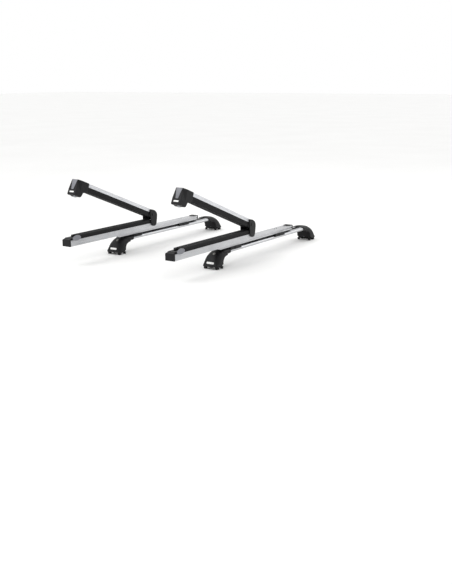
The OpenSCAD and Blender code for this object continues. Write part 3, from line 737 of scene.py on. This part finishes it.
BADGE_HALF_W, BADGE_HALF_H, BADGE_Z, BADGE_PROUD = 23 * MM, 5 * MM, 34 * MM, 0.9 * MM
BADGE_DEEP, BADGE_EDGE, BADGE_TRIM, BADGE_STEPS = 1.6 * MM, 0.3 * MM, 0.35 * MM, 48
# how square the outline's corners are, across and up: the smaller the power, the squarer
BADGE_POWER_X, BADGE_POWER_Z = 0.18, 0.35
# the ring inside the face, as a share of its outline
FACE_X, FACE_Z = 0.5, 0.4


def badge_mesh():
    """A blank plate with rounded corners, bent so that it follows the dome."""
    rings = []
    for layer, trim in ((-BADGE_DEEP, 0), (BADGE_PROUD - BADGE_EDGE, 0), (BADGE_PROUD, BADGE_TRIM)):
        ring = []
        for step in range(BADGE_STEPS):
            turn = 2 * math.pi * step / BADGE_STEPS
            x = signed_power(math.cos(turn), BADGE_POWER_X) * (BADGE_HALF_W - trim)
            z = signed_power(math.sin(turn), BADGE_POWER_Z) * (BADGE_HALF_H - trim)
            ring.append((x, skin_out(x, BADGE_Z + z) * MM + layer, BADGE_Z + z))
        rings.append(ring)
    inner = [(x * FACE_X, skin_out(x * FACE_X, BADGE_Z) * MM + BADGE_PROUD,
              BADGE_Z + (z - BADGE_Z) * FACE_Z) for x, out, z in rings[-1]]
    return loft("badge", [*rings, inner])


bezel, badge = bezel_mesh(), badge_mesh()
for unit in UNITS:
    for end in ENDS:
        cover = plain_object(f"{unit}_{end}_foot_cover", at_foot(shell_cast.data, unit, end))
        cover.data.shade_smooth()
        hand_over(cover, nylon, f"{unit}_{end}_cover")
bezels = joined("lock_bezels", [at_foot(bezel, u, e) for u in UNITS for e in ENDS])
shade(bezels, 50)
hand_over(bezels, nylon, body="rack", slot="charcoal")
badges = joined("foot_name_plates", [at_foot(badge, u, e) for u in UNITS for e in ENDS])
shade(badges, 40)
hand_over(badges, badge_white, "foot_badges")
bpy.data.objects.remove(shell_cast)
print("badge stands", round(skin_out(0, BADGE_Z), 1), "mm out from the collar")

# %% [markdown]
# ## Clamps under the covers
# The jaws are moulded, so their edges are soft. The soles are a slab with tread ribs, set out by
# the row tree. Bolts are machined and get only a broken edge.

# %% Jaws, soles, bases and bolts
moulded("outer_clamp_jaws", "outer_jaws", nylon, 1.2, 3)
moulded("inner_clamp_jaws", "inner_jaws", nylon, 1.2, 3)
moulded("clamp_bases", "foot_bases", nylon, 1.6, 3)
crisp("clamp_screws", "clamp_bolts", zinc, 0.3)

# the sole, outwards from the collar, and its slab
SOLE_IN, SOLE_OUT, SOLE_HALF_W = 86 * MM, 115 * MM, 40.8 * MM
SLAB_LOW, SLAB_TOP, SLAB_TRIM = 9.4 * MM, 13.8 * MM, 0.2 * MM
TREAD_STEP, TREAD_H, TREAD_W, TREAD_EDGE = 6 * MM, 1.5 * MM, 3.6 * MM, 0.5 * MM
TREAD_HALF_LEN, TREAD_LOW, TREAD_FIRST, TREAD_MARGIN = 40 * MM, 8 * MM, 3 * MM, 5 * MM


def tread_rib():
    """One rib along x, with its two lower edges broken."""
    half, edge = TREAD_W / 2, TREAD_EDGE
    outline = [(-half, TREAD_H), (-half, edge), (-half + edge, 0), (half - edge, 0), (half, edge),
               (half, TREAD_H)]
    return prism("tread rib", outline, "x", -TREAD_HALF_LEN, TREAD_HALF_LEN)


def sole_meshes(unit, end):
    """A rubber sole: the slab, then its tread ribs in a row."""
    cover_low, cover_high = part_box(f"{unit}_{end}_cover")
    collar, sign = (cover_low[1], 1) if end == "far" else (cover_high[1], -1)
    middle = (cover_low[0] + cover_high[0]) / 2
    y0, y1 = sorted((collar + sign * SOLE_IN, collar + sign * SOLE_OUT))
    slab = block("sole", middle - SOLE_HALF_W, middle + SOLE_HALF_W, y0 + SLAB_TRIM, y1 - SLAB_TRIM,
                 SLAB_LOW, SLAB_TOP)
    rib = plain_object("sole rib", tread_rib())
    count = int((y1 - y0 - TREAD_MARGIN) / TREAD_STEP) + 1
    run_tree(rib, ROW, Count=count, Step=(0, TREAD_STEP, 0), Finish=sole_rubber)
    rib.data.transform(Matrix.Translation((middle, y0 + TREAD_FIRST, TREAD_LOW)))
    ribs = rib.data
    bpy.data.objects.remove(rib)
    return [slab, ribs]


soles = joined("rubber_soles", [m for u in UNITS for e in ENDS for m in sole_meshes(u, e)])
hand_over(soles, sole_rubber, "foot_pads")
for unit in UNITS:
    for end in ENDS:
        crisp(f"{unit}_{end}_lock_barrel_turned", f"{unit}_{end}_lock", nickel, 0.25)
print(len(soles.data.polygons), "faces in the soles")

# %% [markdown]
# ## Base rails, caps, brackets and rivets
# The rail is a ribbed length that stays on the bars. Nylon brackets hold it, a nylon cap with the
# end stop closes its far end, and two round-head rivets keep the stop in place.

# %% Rails and what holds them
for unit in UNITS:
    crisp(unit + "_base_rail", unit + "_rail", aluminium_bar, 0.35)
moulded("rail_end_caps", "rail_caps", nylon, 1.2, 3)
moulded("bar_brackets", "brackets", nylon, 1.4, 3)


# a rivet head's section: share of its radius, and height in mm
RIVET_DOME = ((1, 0), (1, 0.35), (0.92, 0.7), (0.72, 1.0), (0.4, 1.2), (0.08, 1.25))
RIVET_R, RIVET_STEP, RIVET_SEAT, RIVET_SIDES = 3.2 * MM, 22 * MM, 0.02 * MM, 24


def rivet_row(unit):
    """Two domed rivet heads on one rail. The two carriers don't stand quite level along y."""
    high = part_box("rail_rivets")[1]
    rail_low, rail_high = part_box(unit + "_rail")
    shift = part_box(unit + "_slider")[0][1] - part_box("front_slider")[0][1]
    dome = [(RIVET_R * share, up * MM) for share, up in RIVET_DOME]
    head = plain_object("rivet head", loft("rivet head", disc_rings(dome, RIVET_SIDES)))
    run_tree(head, ROW, Count=2, Step=(0, RIVET_STEP, 0), Finish=zinc)
    middle = (rail_low[0] + rail_high[0]) / 2
    first = high[1] - RIVET_STEP - RIVET_R + shift
    head.data.transform(Matrix.Translation((middle, first, rail_high[2] + RIVET_SEAT)))
    mesh = head.data
    bpy.data.objects.remove(head)
    return mesh


rivets = joined("round_head_rivets", [rivet_row(unit) for unit in UNITS])
shade(rivets, 50)
hand_over(rivets, black_steel, "rail_rivets")

# %% [markdown]
# ## Pull-out sliders
# A slider is a ribbed channel over the base rail. A moulded block closes its near end and takes
# the latch. The oval button on its side frees the slide: a dished paddle with a rounded rim on
# a short stem.

# %% Sliders, end blocks and oval buttons
PADDLE_RX, PADDLE_RZ, PADDLE_STEPS = 31.5 * MM, 14.3 * MM, 72
# the paddle from its back to its face: place outwards from the carrier's middle in mm, and share
# of the whole oval there
PADDLE_RIM = ((32.8, 0.955), (33.1, 0.985), (33.8, 1.0), (34.9, 0.995), (35.6, 0.975), (36.0, 0.945),
              (35.9, 0.86), (35.5, 0.62), (35.3, 0.3), (35.25, 0.05))
PADDLE_OUT = max(at for at, share in PADDLE_RIM) * MM
# the stem behind the paddle, in the same way
STEM = ((20.5, 0.86), (20.9, 0.9), (33.2, 0.9))
STEM_RX, STEM_RZ, STEM_DROP = 15 * MM, 3.4 * MM, 4.8 * MM


def oval_rings(profile, rx, rz, middle):
    """Upright ovals round middle, one for each place and share of the profile."""
    turns = [2 * math.pi * i / PADDLE_STEPS for i in range(PADDLE_STEPS)]
    x, y, z = middle
    return [[(x + at * MM, y + rx * share * math.cos(turn), z + rz * share * math.sin(turn))
             for turn in turns] for at, share in profile]


def oval_button(unit):
    low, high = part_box(unit + "_slide_button")
    carrier_x = high[0] - PADDLE_OUT
    y, z = (low[1] + high[1]) / 2, high[2] - PADDLE_RZ
    paddle = loft("paddle", oval_rings(PADDLE_RIM, PADDLE_RX, PADDLE_RZ, (carrier_x, y, z)))
    stem = loft("stem", oval_rings(STEM, STEM_RX, STEM_RZ, (carrier_x, y, z - STEM_DROP)))
    piece = joined(unit + "_oval_button", [paddle, stem])
    shade(piece, 60)
    return hand_over(piece, grey_button, unit + "_slide_button")


for unit in UNITS:
    crisp(unit + "_pull_out_slider", unit + "_slider", aluminium_bar, 0.35)
    moulded(unit + "_slider_end_block", unit + "_end_block", nylon, 1.0, 4)
    button = oval_button(unit)
    print(button.name, len(button.data.polygons), "faces")

# %% [markdown]
# ## Rubber pads
# Both pads are one extruded EPDM section with rounded shoulders. The face that meets the skis has
# soft lands with grooves between them, and each side has one shallow line. The section is drawn
# out by the same tree as the bars, then its two ends are rounded over.

# %% Lower and upper pads
PAD_HALF_W, PAD_SHOULDER, LAND_STEP, GROOVE_W, GROOVE_D = 26 * MM, 5 * MM, 8 * MM, 1.8 * MM, 1.4 * MM
LAND_EDGE_W, LAND_EDGE_H, SHOULDER_STEPS = 0.7 * MM, 0.5 * MM, 6
SIDE_LINE_AT, SIDE_LINE_D = 0.45, 0.9 * MM      # share of the height, and depth
# how far the rounding reaches in from an end, and how much narrower and flatter the end gets
END_REACH, END_STEPS, END_PULL_X, END_PULL_Z = 4 * MM, 5, 0.07, 0.10


def pad_outline(height):
    """The pad's section: flat foot at 0, ribbed crown at this height."""
    line, line_x = height * SIDE_LINE_AT, PAD_HALF_W - SIDE_LINE_D
    right = [(PAD_HALF_W - 0.6 * MM, 0), (PAD_HALF_W, 0.8 * MM), (PAD_HALF_W, line - 1.0 * MM),
             (line_x, line - 0.3 * MM), (line_x, line + 0.3 * MM), (PAD_HALF_W, line + 1.0 * MM)]
    for k in range(SHOULDER_STEPS + 1):
        a = math.pi / 2 * k / SHOULDER_STEPS
        right.append((PAD_HALF_W - PAD_SHOULDER + PAD_SHOULDER * math.cos(a),
                      height - PAD_SHOULDER + PAD_SHOULDER * math.sin(a)))
    groove = [(GROOVE_W / 2 + LAND_EDGE_W, 0), (GROOVE_W / 2, LAND_EDGE_H), (GROOVE_W / 4, GROOVE_D)]
    groove += [(-x, deep) for x, deep in reversed(groove)]
    crown = [(k * LAND_STEP + x, height - deep) for k in (2, 1, 0, -1, -2) for x, deep in groove]
    left = [(-x, z) for x, z in reversed(right)]
    return right + crown + left


def round_ends(piece):
    """Adds rings near both ends and pulls them in, so that the rubber turns over softly."""
    work = bmesh.new()
    work.from_mesh(piece.data)
    ys = [v.co.y for v in work.verts]
    y0, y1 = min(ys), max(ys)
    for k in range(1, END_STEPS):
        for at in (y0 + END_REACH * k / END_STEPS, y1 - END_REACH * k / END_STEPS):
            every = work.verts[:] + work.edges[:] + work.faces[:]
            bmesh.ops.bisect_plane(work, geom=every, plane_co=(0, at, 0), plane_no=(0, 1, 0))
    for v in work.verts:
        edge = min(v.co.y - y0, y1 - v.co.y)
        if edge < END_REACH:
            pull = 1 - math.sqrt(max(0.0, 1 - (1 - edge / END_REACH) ** 2))
            v.co.x *= 1 - END_PULL_X * pull
            v.co.z *= 1 - END_PULL_Z * pull
    bmesh.ops.recalc_face_normals(work, faces=work.faces)
    work.to_mesh(piece.data)
    work.free()


def rubber_pad(name, length, height):
    pad = draw_out(name, pad_outline(height), 0.0, length, epdm)
    round_ends(pad)
    shade(pad, 50)
    return pad


HINGE_OF = {joint["child"]: joint for joint in behaviour["joints"]}
ARM_LOW, UPPER_PAD_H, UPPER_PAD_NEAR, UPPER_PAD_FAR = 7 * MM, 27.5 * MM, 606 * MM, 31 * MM
UPPER_PAD_LEN, PAD_GAP = UPPER_PAD_NEAR - UPPER_PAD_FAR, 0.05 * MM


def arm_place(unit):
    """From the arm's own frame (outwards is -Y, up is +Z, the hinge pin at 0) to the rack's."""
    pivot = HINGE_OF[unit + "_upper"]["pos_m"]
    return Matrix.Translation(pivot) @ Matrix.Rotation(-OPEN_ANGLE, 4, "X")


for unit in UNITS:
    low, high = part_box(unit + "_lower_pad")
    lower = rubber_pad(unit + "_lower_rubber_pad", high[1] - low[1], high[2] - low[2])
    lower.data.transform(Matrix.Translation(((low[0] + high[0]) / 2, low[1], low[2])))
    hand_over(lower, epdm, unit + "_lower_pad")
    upper = rubber_pad(unit + "_upper_rubber_pad", UPPER_PAD_LEN, UPPER_PAD_H - PAD_GAP)
    upper.data.transform(Matrix.Scale(-1, 4, (0, 0, 1)))
    upper.data.flip_normals()
    under_arm = Matrix.Translation((0, -UPPER_PAD_NEAR, ARM_LOW - PAD_GAP))
    upper.data.transform(arm_place(unit) @ under_arm)
    hand_over(upper, epdm, unit + "_upper_pad")
    print(lower.name, round(high[1] - low[1], 3), "m;", upper.name, round(UPPER_PAD_LEN, 3), "m")

# %% [markdown]
# ## Hinges and upper arms
# The hinge housing is a nylon fork whose two cheeks hold the pin. The arm itself is a flat drawn
# box, and a moulded knuckle closes its end round the pin.

# %% Hinges and arms
for unit in UNITS:
    moulded(unit + "_hinge_fork", unit + "_hinge_housing", nylon, 1.1, 5)
    moulded(unit + "_arm_knuckle", unit + "_knuckle", nylon, 1.2, 3)
    crisp(unit + "_pivot_pin", unit + "_hinge_pin", nylon, 0.5)
    crisp(unit + "_leaning_arm", unit + "_upper_arm", aluminium_arm, 0.5)

# %% [markdown]
# ## Latch heads
# The head is the arm's nylon fist. Its end face slants and narrows to the top, where the grey
# button fills it from side to side. The solid is the overlap of its side view and its plan, so
# both are right; it is rounded like a moulding and only then cut for the button, the plate, the
# arm and the hook, so that those edges stay crisp.

# %% Latch heads
# in mm in the arm's own frame: outwards from the hinge pin, up from it, and across
HEAD_START, HEAD_END, HEAD_TOP, HEAD_LOW, HEAD_W = 580, 673, 28.5, -62.5, 59
HEAD_TIP_TOP_W, HEAD_TIP_LOW_W, HEAD_SLANT, HEAD_TAPER = 40, 57, 8.3, 37


def head_side_view():
    """Outwards along the arm and up, in mm."""
    e = HEAD_END
    return [(HEAD_START, -23.5), (HEAD_START, HEAD_TOP - 4), (HEAD_START + 4, HEAD_TOP),
            (e - HEAD_SLANT - 2, HEAD_TOP), (e - HEAD_SLANT, HEAD_TOP - 2), (e, HEAD_LOW + 8),
            (e - 3, HEAD_LOW + 4), (e - 9, HEAD_LOW + 2.5), (e - 20, HEAD_LOW + 4),
            (e - 28, HEAD_LOW + 3), (e - 36, HEAD_LOW + 0.8), (e - 43, HEAD_LOW + 0.5),
            (e - 52, HEAD_LOW + 6), (e - 60, HEAD_LOW + 28), (e - 70, -28.5)]


def head_ring(out, top_w, low_w):
    corners = [(-low_w / 2, HEAD_LOW - 1), (low_w / 2, HEAD_LOW - 1), (low_w / 2, HEAD_LOW + 30),
               (top_w / 2, HEAD_TOP + 1), (-top_w / 2, HEAD_TOP + 1), (-low_w / 2, HEAD_LOW + 30)]
    return [(x * MM, -out * MM, z * MM) for x, z in corners]


def end_slab(name, depth_0, depth_1, outline):
    """What lies inside an outline and between two depths behind the slanted end face, in mm."""
    end, slant = HEAD_END * MM, HEAD_SLANT * MM
    front, back = depth_0 * MM - end, depth_1 * MM - end
    slab = [(front + slant, HEAD_TOP * MM), (back + slant, HEAD_TOP * MM),
            (back, HEAD_LOW * MM), (front, HEAD_LOW * MM)]
    straight = prism(name, [(x * MM, z * MM) for x, z in outline], "y", -end - 10 * MM, -end + 40 * MM)
    return carve(prism(name, slab, "x", -40 * MM, 40 * MM), "INTERSECT", straight)


# room for the arm's end, the pad's end and the hook: half width, outwards from and to, up from
# and to, all in mm
HEAD_ROOMS = (("arm", 28.15, (570, 632.2), (6.9, 26.6)), ("pad", 26.2, (570, 606.2), (-20.7, 7.1)),
              ("hook", 7.3, (624, 658), (-80, -20)))
# the button's well and the plate's seat as seen on the end face, and how deep each one goes
BUTTON_WELL, BUTTON_WELL_D = ((-19.35, 30), (19.35, 30), (7.85, -28.35), (-7.85, -28.35)), 15.5
PLATE_SEAT, PLATE_SEAT_D = ((-15.15, -46.15), (15.15, -46.15), (15.15, -37.85), (-15.15, -37.85)), 2
BEFORE_FACE = -6


def head_mesh():
    side = prism("side", [(-out * MM, z * MM) for out, z in head_side_view()], "x",
                 -HEAD_W / 2 * MM, HEAD_W / 2 * MM)
    plan = loft("plan", [head_ring(HEAD_START - 1, HEAD_W, HEAD_W),
                         head_ring(HEAD_END - HEAD_TAPER, HEAD_W, HEAD_W),
                         head_ring(HEAD_END + 0.5, HEAD_TIP_TOP_W, HEAD_TIP_LOW_W)])
    fist = rounded(plain_object("fist", carve(side, "INTERSECT", plan)), 1.1, 5)
    mesh = fist.data
    bpy.data.objects.remove(fist)
    cuts = [block(name, -half * MM, half * MM, -out[1] * MM, -out[0] * MM, up[0] * MM, up[1] * MM)
            for name, half, out, up in HEAD_ROOMS]
    cuts.append(end_slab("well", BEFORE_FACE, BUTTON_WELL_D, BUTTON_WELL))
    cuts.append(end_slab("plate", BEFORE_FACE, PLATE_SEAT_D, PLATE_SEAT))
    for tool in cuts:
        mesh = carve(mesh, "DIFFERENCE", tool)
    return mesh


fist_cast = head_mesh()
for unit in UNITS:
    copy = fist_cast.copy()
    copy.transform(arm_place(unit))
    head = plain_object(unit + "_latch_head", copy)
    shade(head, 42)
    hand_over(head, nylon, unit + "_head")
    crisp(unit + "_head_press_button", unit + "_head_button", grey_button, 0.7)
    crisp(unit + "_latch_hook", unit + "_latch", zinc, 0.4)
    crisp(unit + "_head_name_plate", unit + "_head_badge", badge_white, 0.35)
print("one head:", len(fist_cast.polygons), "faces")

# %% [markdown]
# ## The engineering parts that stay
# Strips, glides, nuts and bracket bolts have the right shape already. They keep their meshes and
# only get their finish.

# %% Finish the parts that stay
SHOWN_AS_THEY_ARE = ["bar_strips", "bracket_bolts", "slot_nuts", "front_glides", "rear_glides"]
for node in SHOWN_AS_THEY_ARE:
    part = frame["nodes"][node]
    part.data.materials.clear()
    part.data.materials.append(FINISH_OF_SLOT[SLOT_OF[node]])
print("kept as they are:", ", ".join(SHOWN_AS_THEY_ARE))

# %% [markdown]
# ## Floor and light
# A pale matt studio floor, a white room, one large soft key from the camera's left and a weaker
# lamp from behind, so that the top faces of the silver parts are the brightest thing of all.

# %% Floor and light
def add_floor():
    half = 40
    corners = [(-half, -half, 0), (half, -half, 0), (half, half, 0), (-half, half, 0)]
    mesh = bpy.data.meshes.new("floor")
    mesh.from_pydata(corners, [], [(0, 1, 2, 3)])
    floor = plain_object("studio_floor", mesh)
    material, tree, shader, place = new_material("pale matt studio floor")
    cloud = blotches(tree, place, 900)
    tree.links.new(two_tones(tree, cloud, "#FBFBFA", "#F8F8F7"), shader.inputs["Base Color"])
    tree.links.new(spread(tree, cloud, 0.75, 0.85), shader.inputs["Roughness"])
    mesh.materials.append(material)
    return floor


def add_soft_box(name, at, aim, size, watts):
    light = bpy.data.lights.new(name, "AREA")
    light.size, light.energy = size, watts
    lamp = bpy.data.objects.new(name, light)
    lamp.location = at
    lamp.rotation_euler = (Vector(aim) - Vector(at)).to_track_quat("-Z", "Y").to_euler()
    bpy.context.scene.collection.objects.link(lamp)
    return lamp


add_floor()
add_soft_box("key", (-1.6, -2.6, 3.2), (0, -0.2, 0.1), 2.2, 45)
add_soft_box("back", (1.5, 3.0, 2.4), (0, 0, 0.1), 2.0, 20)
room = bpy.data.worlds.new("white room")
bpy.context.scene.world = room
room.use_nodes = True
room.node_tree.nodes["Background"].inputs["Color"].default_value = (1, 1, 1, 1)
room.node_tree.nodes["Background"].inputs["Strength"].default_value = 1.0
bpy.context.scene.view_settings.view_transform = "Standard"
